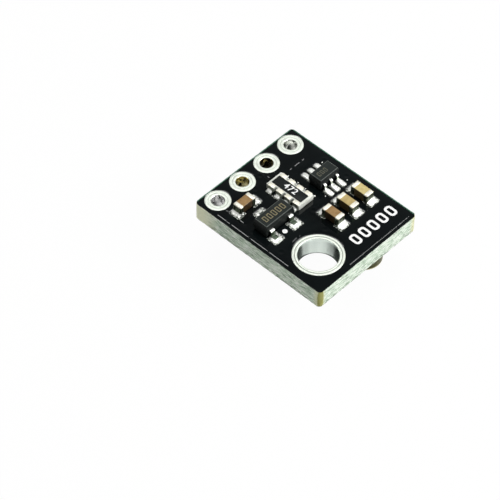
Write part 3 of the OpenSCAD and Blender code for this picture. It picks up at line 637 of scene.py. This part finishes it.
def covered_by(node, xs, ys):
    """1 where a node covers the point in plan, else 0, on a raster. Each column of points is counted
    across the edges round the node's upper faces, and lies inside after an odd number of them."""
    mesh = merged_mesh(node)
    outline = [sorted(tuple(vert.co[:2]) for vert in edge.verts) for edge in mesh.edges
               if sum(face.normal.z > 0.5 for face in edge.link_faces) == 1]
    mesh.free()
    crossed = np.zeros((len(xs), len(ys) + 1))
    for (x0, y0), (x1, y1) in outline:
        columns = np.flatnonzero((xs >= x0) & (xs < x1))
        at = y0 + (y1 - y0) * (xs[columns] - x0) / max(x1 - x0, 1e-12)
        np.add.at(crossed, (columns, np.searchsorted(ys, at)), 1)
    return np.cumsum(crossed[:, :-1], axis=1) % 2


def blurred(raster, sigma):
    """Gaussian blur, sigma in cells."""
    reach = int(3 * sigma) + 1
    taps = np.exp(-0.5 * (np.arange(-reach, reach + 1) / sigma) ** 2)
    taps /= taps.sum()
    for axis in (0, 1):
        width = [(reach, reach) if a == axis else (0, 0) for a in (0, 1)]
        padded = np.pad(raster, width, mode="edge")
        raster = sum(t * np.take(padded, np.arange(k, k + raster.shape[axis]), axis=axis)
                     for k, t in enumerate(taps))
    return raster


def ramped(raster, cells):
    """Moving average over a square of cells, which turns each step into an even ramp."""
    for axis in (0, 1):
        raster = sum(np.roll(raster, k - cells // 2, axis=axis) for k in range(cells + 1)) / (cells + 1)
    return raster


def sampled(raster, xs, ys, x, y):
    """Raster values between its cells."""
    fx = np.clip((x - xs[0]) / (xs[1] - xs[0]), 0, len(xs) - 1.001)
    fy = np.clip((y - ys[0]) / (ys[1] - ys[0]), 0, len(ys) - 1.001)
    i, j = fx.astype(int), fy.astype(int)
    a, b = fx - i, fy - j
    return ((1 - a) * (1 - b) * raster[i, j] + a * (1 - b) * raster[i + 1, j]
            + (1 - a) * b * raster[i, j + 1] + a * b * raster[i + 1, j + 1])


# Ink in millimetres: its rise over copper, dip into open lands, depth down to where the sheet is
# closed, chipping by the router, and width of the thin ink along the routed edge
mask_rise = 0.008
land_dip = 0.025
film_depth = 0.05
chip_depth = 0.016
thin_width = 0.09
# How far the sheet reaches in under the rings' rims
ring_overlap = 0.12
# Spread of the ink over soft edges, in cells of the raster
soft_cells = 18.0
# Copper edges that show plainly through the ink: left, near, right and far limit, in millimetres from
# the board's corner
plain_edges = [(0.18, 3.25, 0.38, 10.3), (3.25, 0.18, 9.85, 0.38), (0.90, 8.1, 1.12, 10.1),
               (6.9, 9.35, 8.6, 9.55), (5.17, 9.8, 5.5, 11.0), (2.1, 5.0, 2.45, 5.5)]


def sheet_lines(lo, hi, cell, keen):
    """Places of a sheet's grid lines, drawn close together at the keen places."""
    close = np.arange(-6, 7) * 0.009 * MM
    lines = list(np.linspace(lo, hi, round((hi - lo) / cell) + 1))
    for place in keen:
        lines = [at for at in lines if abs(at - place) > 0.08 * MM or at in (lo, hi)]
        lines += list(place + close)
    return np.array(sorted(lines))


def mask_sheet(side, cell, keen_x, keen_y):
    """Soldermask of one side as a fine sheet: it stands up over copper and is open at lands and holes."""
    top = side == "top"
    lo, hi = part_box("substrate")
    mid = (lo + hi) / 2
    half_x, half_y = (hi.x - lo.x) / 2, (hi.y - lo.y) / 2
    corner = 0.3 * MM
    step = 0.01 * MM
    xs = np.arange(lo.x, hi.x + step, step)
    ys = np.arange(lo.y, hi.y + step, step)
    gx, gy = np.meshgrid(xs, ys, indexing="ij")
    raised = covered_by(f"copper_{side}", xs, ys)
    opened = covered_by(f"lands_{side}", xs, ys)
    for place, rim in ring_places.values():
        opened[np.hypot(gx - place.x, gy - place.y) < rim] = 1
    # Ink levels itself softly over most edges; the plain ones, and the ring's, keep an even ramp
    place, rim = ring_places["mounting_hole_plating"]
    away = np.hypot(gx - place.x, gy - place.y)
    plain = 0.75 * ((away > rim + 0.08 * MM) & (away < rim + 0.40 * MM))
    for left, near, right, far in plain_edges if top else []:
        inside = (gx > lo.x + left * MM) & (gx < lo.x + right * MM)
        inside &= (gy > lo.y + near * MM) & (gy < lo.y + far * MM)
        plain[inside] = 1
    # Here and there the ink bridges a plain edge too, and breaks its line
    patches = np.random.default_rng(4).random((64, 64))
    spread = np.linspace(lo.x, hi.x, 64), np.linspace(lo.y, hi.y, 64)
    plain = blurred(plain * np.clip(6 * sampled(patches, *spread, gx, gy) - 1.2, 0, 1), 1.5)
    raised = np.maximum(raised, opened)
    raised = plain * ramped(raised, 3) + (1 - plain) * blurred(raised, soft_cells)
    opened = blurred(opened, 2.0)
    for place in via_places:
        away = np.hypot(gx - place[0], gy - place[1]) / MM
        raised -= 1.1 * np.exp(-(away / 0.12) ** 2) - 0.4 * np.exp(-((away - 0.26) / 0.04) ** 2)
    lines_x = sheet_lines(lo.x, hi.x, cell, [lo.x + at * MM for at in keen_x])
    lines_y = sheet_lines(lo.y, hi.y, cell, [lo.y + at * MM for at in keen_y])
    sheet = added(f"soldermask_film_{side}", bpy.ops.mesh.primitive_grid_add,
                  x_subdivisions=len(lines_x) - 1, y_subdivisions=len(lines_y) - 1, size=2)
    points = points_of(sheet)
    x = np.interp(points[:, 0], np.linspace(-1, 1, len(lines_x)), lines_x) - mid.x
    y = np.interp(points[:, 1], np.linspace(-1, 1, len(lines_y)), lines_y) - mid.y
    # Only the four corners are drawn in to their round
    zone = 2 * corner
    inner_x, inner_y = half_x - zone, half_y - zone
    u = np.maximum(np.abs(x) - inner_x, 0) / zone
    v = np.maximum(np.abs(y) - inner_y, 0) / zone
    at_corner = (u > 0) & (v > 0)
    px, py = rounded_place(u, v, zone, zone, corner)
    x = np.where(at_corner, np.sign(x) * (inner_x + px), x)
    y = np.where(at_corner, np.sign(y) * (inner_y + py), y)
    # The router chipped the ink along its edge
    at_rim = np.maximum(np.abs(points[:, 0]), np.abs(points[:, 1])) > 0.99999
    chips = 1 + ripple(x, y, 0.22, 3) + 0.6 * ripple(x, y, 0.08, 5)
    draw_in = np.where(at_rim, np.clip(chips, 0, 2) * chip_depth * MM, 0)
    x = x * (1 - draw_in / half_x) + mid.x
    y = y * (1 - draw_in / half_y) + mid.y
    outward = 1 if top else -1
    level = land_top if top else land_bottom
    # The lower sheet's relief goes into the film, so that the board's seat stays its lowest face
    rise = mask_rise * MM * (sampled(raised, xs, ys, x, y) - (0 if top else 1))
    open_share = np.clip(sampled(opened, xs, ys, x, y), 0, 1)
    height = rise * (1 - open_share) - land_dip * MM * open_share
    move_points(sheet, np.stack([x, y, level + outward * height], axis=1))
    editing(sheet)
    mesh = bmesh.from_edit_mesh(sheet.data)
    for vert in mesh.verts:
        for place, rim in ring_places.values():
            if math.hypot(vert.co.x - place.x, vert.co.y - place.y) < rim - ring_overlap * MM:
                vert.select_set(True)
    bmesh.update_edit_mesh(sheet.data)
    bpy.ops.mesh.delete(type="VERT")
    done()
    close_below(sheet, level - outward * film_depth * MM)
    smooth(sheet, 40)
    ready(sheet, "soldermask", f"soldermask_{side}")
    # The ink is thin along the two far edges
    sheet.data.materials.append(thin_mask)
    for polygon in sheet.data.polygons:
        past = polygon.center.x - mid.x - half_x, polygon.center.y - mid.y - half_y
        polygon.material_index = int(max(past) > -thin_width * MM)


via_places = [((lo + hi) / 2)[:2] for lo, hi in islands("via_barrels")]
ground_inset = (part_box("copper_top")[0].x - board_lo.x) / MM
# Where the ground copper opens round the mounting ring, past the hole's axis in x and in y
bare_gap = 0.23 * MM
ring_middle, ring_rim = ring_places["mounting_hole_plating"]
opening = ring_rim + bare_gap
opening_x, opening_y = [(ring_middle[k] + opening - board_lo[k]) / MM for k in (0, 1)]
mask_sheet("top", 0.05 * MM, [ground_inset, 1.015, opening_x, 5.42], [ground_inset, opening_y, 9.445])
mask_sheet("bottom", 0.06 * MM, [ground_inset], [ground_inset])


# Solder

def mound(land, metal, height, swell, seed, level, wobble, corner):
    """Solder on one land: thin at the rim of the land and risen to a height against the metal. Swell
    is 0 for a hollow fillet and 1 for a full bulge, and wobble is the stray of its rim."""
    (x0, y0), (x1, y1) = land
    half_x, half_y = (x1 - x0) / 2, (y1 - y0) / 2
    cx, cy = (x0 + x1) / 2, (y0 + y1) / 2
    obj = added("mound", bpy.ops.mesh.primitive_grid_add, x_subdivisions=36, y_subdivisions=36, size=2)
    points = points_of(obj)
    u, v = points[:, 0], points[:, 1]
    m = np.maximum(np.abs(u), np.abs(v))
    off_middle = np.maximum(m, 1e-6)
    x, y = rounded_place(u, v, half_x, half_y, min(corner * MM, 0.95 * min(half_x, half_y)))
    rim_x = cx + np.where(m > 0, x / off_middle, 0)
    rim_y = cy + np.where(m > 0, y / off_middle, 0)
    rim = ripple(rim_x, rim_y, 0.16, seed) + 0.6 * ripple(rim_x, rim_y, 0.07, seed + 61)
    draw_in = 1 - wobble * (0.6 + 0.9 * rim)
    x, y = x * draw_in, y * draw_in
    to_rim = np.hypot(x, y) * (1 / off_middle - 1)
    to_rim[m < 1e-6] = min(half_x, half_y)
    x, y = x + cx, y + cy
    (mx0, my0), (mx1, my1) = metal
    past_x = np.maximum(np.maximum(mx0 - x, x - mx1), 0)
    past_y = np.maximum(np.maximum(my0 - y, y - my1), 0)
    t = to_rim / np.maximum(to_rim + np.hypot(past_x, past_y), 1e-9)
    hollow = 1 - np.sqrt(np.maximum(1 - t * t, 0))
    full = np.sqrt(np.maximum(1 - (1 - t) ** 2, 0))
    film = 0.030 * MM
    uneven = 0.012 * MM
    z = film + (height - film) * ((1 - swell) * hollow + swell * full)
    z += uneven * ripple(x, y, 0.17, seed + 31) * (1 - m ** 6)
    z = np.where(m > 0.999, -uneven, z)
    move_points(obj, np.stack([x, y, level + z], axis=1))
    close_below(obj, level - 0.02 * MM)
    smooth(obj, 60)
    return obj


def foot_of(node):
    """Plan of a lead's foot on its land."""
    points = points_of(nodes[node])
    low = points[points[:, 2] < points[:, 2].min() + 0.02 * MM, :2]
    return low.min(axis=0), low.max(axis=0)


lands = [(lo[:2], hi[:2]) for lo, hi in islands("lands_top")]
leads = [f"regulator_lead_{i}" for i in (1, 2, 3)] + [f"transistor_lead_{i}" for i in range(1, 7)]
metals = [(foot_of(lead), lead.split("_")[0] + "_solder") for lead in leads]
metals += [((lo[:2], hi[:2]), "array_solder") for lo, hi in islands("array_terminals")]
for i in (1, 2, 3, 4):
    metals += [((lo[:2], hi[:2]), "capacitor_solder") for lo, hi in islands(f"capacitor_ends_{i}")]
# Height against the metal in millimetres, swell, wobble and corner radius of each kind of joint
joint_shapes = {
    "regulator_solder": (0.10, 0.6, 0.24, 0.20), "transistor_solder": (0.14, 0.95, 0.03, 0.17),
    "array_solder": (0.22, 0.5, 0.10, 0.12), "capacitor_solder": (0.23, 0.40, 0.16, 0.24)}
joint_coats = {"capacitor_solder": capacitor_joint, "regulator_solder": regulator_joint}
joints = {kind: [] for kind in joint_shapes}
for seed, land in enumerate(lands):
    for metal, kind in metals:
        if np.all(land[0] <= metal[1]) and np.all(metal[0] <= land[1]):
            high, swell, wobble, corner = joint_shapes[kind]
            joints[kind].append(mound(land, metal, high * MM, swell, seed, land_top, wobble, corner))
            break
for kind, parts in joints.items():
    ready(joined(f"{kind}_joints", parts), "solder", kind, coat=joint_coats.get(kind))

# Beads of solder that stayed on the mask when the paste melted: place and radius
beads = []
for x, y, radius in ((6.50, 9.10, 0.05), (6.52, 8.15, 0.05), (6.49, 7.38, 0.04), (6.42, 6.42, 0.06),
                     (6.95, 5.86, 0.05), (9.20, 8.25, 0.05), (9.20, 5.80, 0.04), (1.72, 8.80, 0.05),
                     (2.62, 8.82, 0.06), (4.30, 8.62, 0.035)):
    bead = added("bead", bpy.ops.mesh.primitive_uv_sphere_add, segments=16, ring_count=8,
                 radius=radius * MM, location=on_board(x, y, land_top + 0.6 * radius * MM))
    bead.scale = (1.25, 0.9, 0.8)
    settle(bead)
    smooth(bead, 60)
    beads.append(bead)
ready(joined("solder_beads", beads), "solder")


# Moulded packages and their leads

# Height of a laser-burnt mark over its package
mark_t = 0.004 * MM
for name in ("regulator_body", "transistor_body"):
    # The package's eased top edges take a painted highlight
    package = eased(name, name.replace("body", "package"), 0.020, 2, 20, package_edge_highlight)
    # The marks' tops lie at the body's top, so the body's own face is a little lower
    points = points_of(package)
    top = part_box(name)[1].z - mark_t
    points[:, 2] = np.minimum(points[:, 2], top)
    move_points(package, points)
    for polygon in package.data.polygons:
        if polygon.center.z < top - 0.02 * MM:
            polygon.material_index = 0
    ready(package, "moulding_compound", name)
for name in leads:
    wing = eased(name, name.replace("lead", "gull_wing"), 0.018, 3, 50)
    ready(wing, "tinned_lead", name, coat=regulator_lead if "regulator" in name else None)


# Resistor array

for node, name, width, segments, slot in (
        ("array_ceramic", "array_body", 0.03, 2, "alumina"),
        ("array_coating", "array_overglaze", 0.015, 2, "resistor_coating"),
        ("array_terminals", "array_dipped_terminals", 0.04, 3, "tinned_terminal")):
    ready(eased(node, name, width, segments, 50), slot, node)


# Capacitors

def dipped_end(lo, hi, middle):
    """Terminal dipped over one end of a capacitor: a pillow with round edges round the ceramic. Its
    inner edge reaches a little further in, as the round takes some of its width."""
    lo, hi = np.array(lo), np.array(hi)
    inward = np.array(middle) - (lo + hi) / 2
    axis = int(abs(inward[1]) > abs(inward[0]))
    (hi if inward[axis] > 0 else lo)[axis] += math.copysign(0.03 * MM, inward[axis])
    obj = added("dipped_end", bpy.ops.mesh.primitive_cube_add, size=1, location=(lo + hi) / 2)
    obj.scale = hi - lo
    settle(obj)
    apply_modifier(obj, "BEVEL", width=0.11 * MM, segments=6, limit_method="NONE")
    smooth(obj, 50)
    return obj


ceramic_slots = {part["node"]: part["material_slot"] for part in frame["record"]["subparts"]}
for i in (1, 2, 3, 4):
    lo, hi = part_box(f"capacitor_{i}")
    ends = [dipped_end(*island, (lo + hi) / 2) for island in islands(f"capacitor_ends_{i}")]
    ready(joined(f"capacitor_dipped_ends_{i}", ends), "tinned_terminal", f"capacitor_ends_{i}",
          coat=capacitor_end)
    name = f"capacitor_{i}"
    # The body's eased edges take a painted highlight
    ready(eased(name, f"capacitor_body_{i}", 0.035, 2, 50, ceramic_edge_highlight), ceramic_slots[name], name)


# Pressure sensor under the board: a cap with a foot flange, a collar and a rolled rim
lo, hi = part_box("sensor_cap")
gel_lo, gel_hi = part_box("sensor_gel")
foot, rim = hi.z, lo.z
flange, bore = (hi.x - lo.x) / 2, (gel_hi.x - gel_lo.x) / 2
collar = bore + 0.22 * MM
r = 0.1 * MM
outside = [(flange, foot), (flange, foot - 0.31 * MM), (flange - 0.012 * MM, foot - 0.338 * MM),
           (flange - 0.04 * MM, foot - 0.35 * MM), (collar + 0.06 * MM, foot - 0.35 * MM),
           (collar + 0.018 * MM, foot - 0.37 * MM), (collar, foot - 0.41 * MM)]
rolled = [(collar - r + r * math.cos(a), rim + r - r * math.sin(a))
          for a in [math.radians(d) for d in range(0, 91, 15)]]
inside = [(bore + 0.03 * MM, rim), (bore + 0.008 * MM, rim + 0.008 * MM), (bore, rim + 0.03 * MM),
          (bore, foot)]
cap = turned("sensor_collar_cap", (lo + hi) / 2, outside + rolled + inside, 144)
ready(cap, "stainless_cap", "sensor_cap")
ready(eased("sensor_base", "sensor_carrier", 0.03, 2, 50), "sensor_ceramic", "sensor_base")


# Printed marks

def flat_plate(name, points, level, thick):
    """Thin plate with the outline of the given points, for ink or paint."""
    obj = added(name, bpy.ops.mesh.primitive_circle_add, vertices=len(points), radius=MM,
                fill_type="NGON")
    move_points(obj, np.array([(x, y, level) for x, y in points]))
    editing(obj, "FACE", "SELECT")
    bpy.ops.mesh.extrude_region_move(TRANSFORM_OT_translate={"value": (0, 0, thick)})
    turn_outward()
    return obj


def round_points(cx, cy, half_x, half_y, r, per_corner=6):
    """Outline of a rectangle with rounded corners, anticlockwise."""
    out = []
    for sx, sy, turn in ((1, 1, 0), (-1, 1, 90), (-1, -1, 180), (1, -1, 270)):
        for k in range(per_corner + 1):
            a = math.radians(turn + 90 * k / per_corner)
            out.append((cx + sx * (half_x - r) + r * math.cos(a), cy + sy * (half_y - r) + r * math.sin(a)))
    return out


def frame_mark(x, y, half_x, half_y, r, line, level, thick):
    """Printed rectangle outline: a plate whose middle is cut out by an inset. Half its sides, its
    corners' radius and its line are in millimetres."""
    outline = round_points(x, y, half_x * MM, half_y * MM, r * MM)
    obj = flat_plate("frame_mark", outline, level, thick)
    editing(obj, "FACE")
    mesh = bmesh.from_edit_mesh(obj.data)
    for face in mesh.faces:
        face.select_set(abs(face.normal.z) > 0.9)
    bmesh.update_edit_mesh(obj.data)
    bpy.ops.mesh.inset(thickness=line * MM)
    bpy.ops.mesh.bridge_edge_loops()
    turn_outward()
    return obj


ink_t = 0.012 * MM
mask_top = land_top + mask_rise * MM
ticks = [frame_mark(*on_board(5.45 + 0.93 * k, 1.58)[:2], 0.33, 0.5, 0.27, 0.19,
                    mask_top - 0.004 * MM, ink_t) for k in range(5)]
ready(joined("tick_boxes", ticks), "soldermask", coat=white_ink)
dot = on_board(2.49, 5.68)
mark = flat_plate("pin_dot", round_points(dot.x, dot.y, 0.19 * MM, 0.19 * MM, 0.189 * MM, 10),
                  land_top - 0.002 * MM, 0.022 * MM)
ready(mark, "soldermask", coat=white_ink)

# Value of the array in plain digits, read from its left side
coating_lo, coating_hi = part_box("array_coating")
digits = added("array_value", bpy.ops.object.text_add)
for name, value in (("body", "472"), ("size", 0.72 * MM), ("extrude", 0.004 * MM),
                    ("offset", 0.012 * MM), ("align_x", "CENTER"), ("align_y", "CENTER"),
                    ("space_character", 1.12)):
    setattr(digits.data, name, value)
only(digits)
bpy.ops.object.convert(target="MESH")
digits = bpy.context.object
middle = (coating_lo + coating_hi) / 2
digits.location = (middle.x + 0.02 * MM, middle.y - 0.05 * MM, coating_hi.z + 0.002 * MM)
digits.rotation_euler = (0, 0, math.radians(-90))
settle(digits)
ready(digits, "resistor_coating", coat=white_ink)

# Plain laser-burnt boxes on the packages: how many, the place of the middle one in the row, their
# pitch and shift, half sides, corners, line and ink
for package, count, centred_on, pitch, shift, half_x, half_y, corner, line, ink in (
        ("regulator", 5, 2, 0.44, 0, 0.15, 0.27, 0.05, 0.07, amber_ink),
        ("transistor", 3, 1.6, 0.33, 0.02, 0.11, 0.2, 0.04, 0.05, faint_ink)):
    body_lo, body_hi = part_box(f"{package}_body")
    middle = (body_lo + body_hi) / 2
    burnt = [frame_mark(middle.x + (k - centred_on) * pitch * MM, middle.y + shift * MM, half_x, half_y,
                        corner, line, body_hi.z - 2 * mark_t, 2 * mark_t) for k in range(count)]
    ready(joined(f"{package}_bars", burnt), "moulding_compound", coat=ink)


# Floor, light and camera

floor_level = cad_box[0][2]
floor = added("floor", bpy.ops.mesh.primitive_plane_add, size=4, location=(0, 0, floor_level - 0.002 * MM))
settle(floor)
paper = bpy.data.materials.new("white_paper_sweep")
tree = empty_tree(paper)
rays = add_node(tree, "LightPath", out="Is Camera Ray").node.outputs
mirrored = add_node(tree, "Math", {0: rays["Is Glossy Ray"], 1: rays["Is Transmission Ray"]},
                    operation="MAXIMUM")
# Metal sees less of the plain white than the eye does, and more of the shadow under the board
mirrored = add_node(tree, "Math", {0: mirrored, 1: 0.05}, operation="MULTIPLY")
share = add_node(tree, "Math", {0: rays["Is Camera Ray"], 1: 0.97, 2: mirrored}, operation="MULTIPLY_ADD")
matte = add_node(tree, "BsdfDiffuse", {"Color": linear("fafaf8")})
glow = add_node(tree, "Emission", {"Color": (1, 1, 1, 1), "Strength": 1.0})
mixed = add_node(tree, "MixShader", {0: share, 1: matte, 2: glow})
add_node(tree, "OutputMaterial", {"Surface": mixed})
floor.data.materials.append(paper)

# Grey sheet that only mirrors see, on the floor under the middle of the board: a painted shadow that stands
# for the shade under the board in the holes' reflections
shadow_sheet = added("painted_shadow_sheet", bpy.ops.mesh.primitive_circle_add, vertices=48, radius=4.1 * MM,
             fill_type="NGON", location=(3.6 * MM, 3.4 * MM, floor_level - 0.001 * MM))
settle(shadow_sheet)
for rays_of in ("camera", "diffuse", "shadow", "transmission"):
    setattr(shadow_sheet, f"visible_{rays_of}", False)
shadow_grey = bpy.data.materials.new("painted_shadow_grey")
tree = empty_tree(shadow_grey)
add_node(tree, "OutputMaterial", {"Surface": add_node(tree, "BsdfDiffuse", {"Color": linear("727573")})})
shadow_sheet.data.materials.append(shadow_grey)

# A plain white room: pale low down, dark overhead where the softboxes hang
world = bpy.data.worlds.new("studio")
scene.world = world
tree = empty_tree(world)
rays = add_node(tree, "LightPath", out="Is Camera Ray").node.outputs
seen = add_node(tree, "Math", {0: rays["Is Camera Ray"], 1: rays["Is Glossy Ray"]}, operation="MAXIMUM")
seen = add_node(tree, "Math", {0: seen, 1: rays["Is Transmission Ray"]}, operation="MAXIMUM")
up = add_node(tree, "SeparateXYZ", {0: add_node(tree, "TexCoord", out="Generated")}, "Z")
lit_walls = add_node(tree, "ValToRGB", {"Fac": up}, stops=[(0.0, 0.08), (0.4, 0.05)])
seen_walls = add_node(tree, "ValToRGB", {"Fac": up}, stops=[
    (0.0, 0.5), (0.12, 0.3), (0.30, 0.6), (0.60, 0.6), (0.70, 0.18), (0.79, 0.05)])
sky = add_node(tree, "Mix", {0: seen, 6: lit_walls, 7: seen_walls}, 2, data_type="RGBA")
add_node(tree, "OutputWorld", {"Surface": add_node(tree, "Background", {"Color": sky, "Strength": 1.0})})

middle = Vector([(a + b) / 2 for a, b in zip(*cad_box)])


def softbox(name, direction, distance, width, height, radiance):
    """Area light that faces the module, out of the camera's sight."""
    lamp = bpy.data.lights.new(name, "AREA")
    lamp.shape = "DISK" if width == height else "RECTANGLE"
    lamp.size, lamp.size_y = width, height
    area = math.pi * width * width / 4 if width == height else width * height
    lamp.energy = radiance * math.pi * area
    obj = bpy.data.objects.new(name, lamp)
    scene.collection.objects.link(obj)
    away = Vector(direction).normalized()
    obj.location = middle + away * distance
    obj.rotation_euler = away.to_track_quat("Z", "Y").to_euler()
    obj.visible_camera = False


softbox("overhead_softbox", (0, 0, 1), 0.30, 0.267, 0.267, 2.2)
softbox("far_lamp", (0.15, 0.44, 0.885), 0.28, 0.036, 0.065, 13.5)
softbox("right_lamp", (0.477, 0.13, 0.87), 0.28, 0.036, 0.065, 13.5)
softbox("front_softbox", (0.4, -0.78, 0.5), 0.30, 0.24, 0.09, 10.8)

camera = bpy.data.cameras.new("camera")
camera.lens = 180.9
camera.sensor_width = 36
camera.clip_start = 0.01
camera.clip_end = 10
eye = bpy.data.objects.new("camera", camera)
scene.collection.objects.link(eye)
right = Vector((0.6895, -0.7242, 0.0123)).normalized()
forward = Vector((0.4768, 0.4410, -0.7604)).normalized()
above = right.cross(forward).normalized()
right = forward.cross(above).normalized()
turn = Matrix((right, above, -forward)).transposed().to_4x4()
eye.matrix_world = Matrix.Translation((-0.08747, -0.07433, 0.13624)) @ turn
scene.camera = eye

view = scene.view_settings
view.view_transform = "Standard"
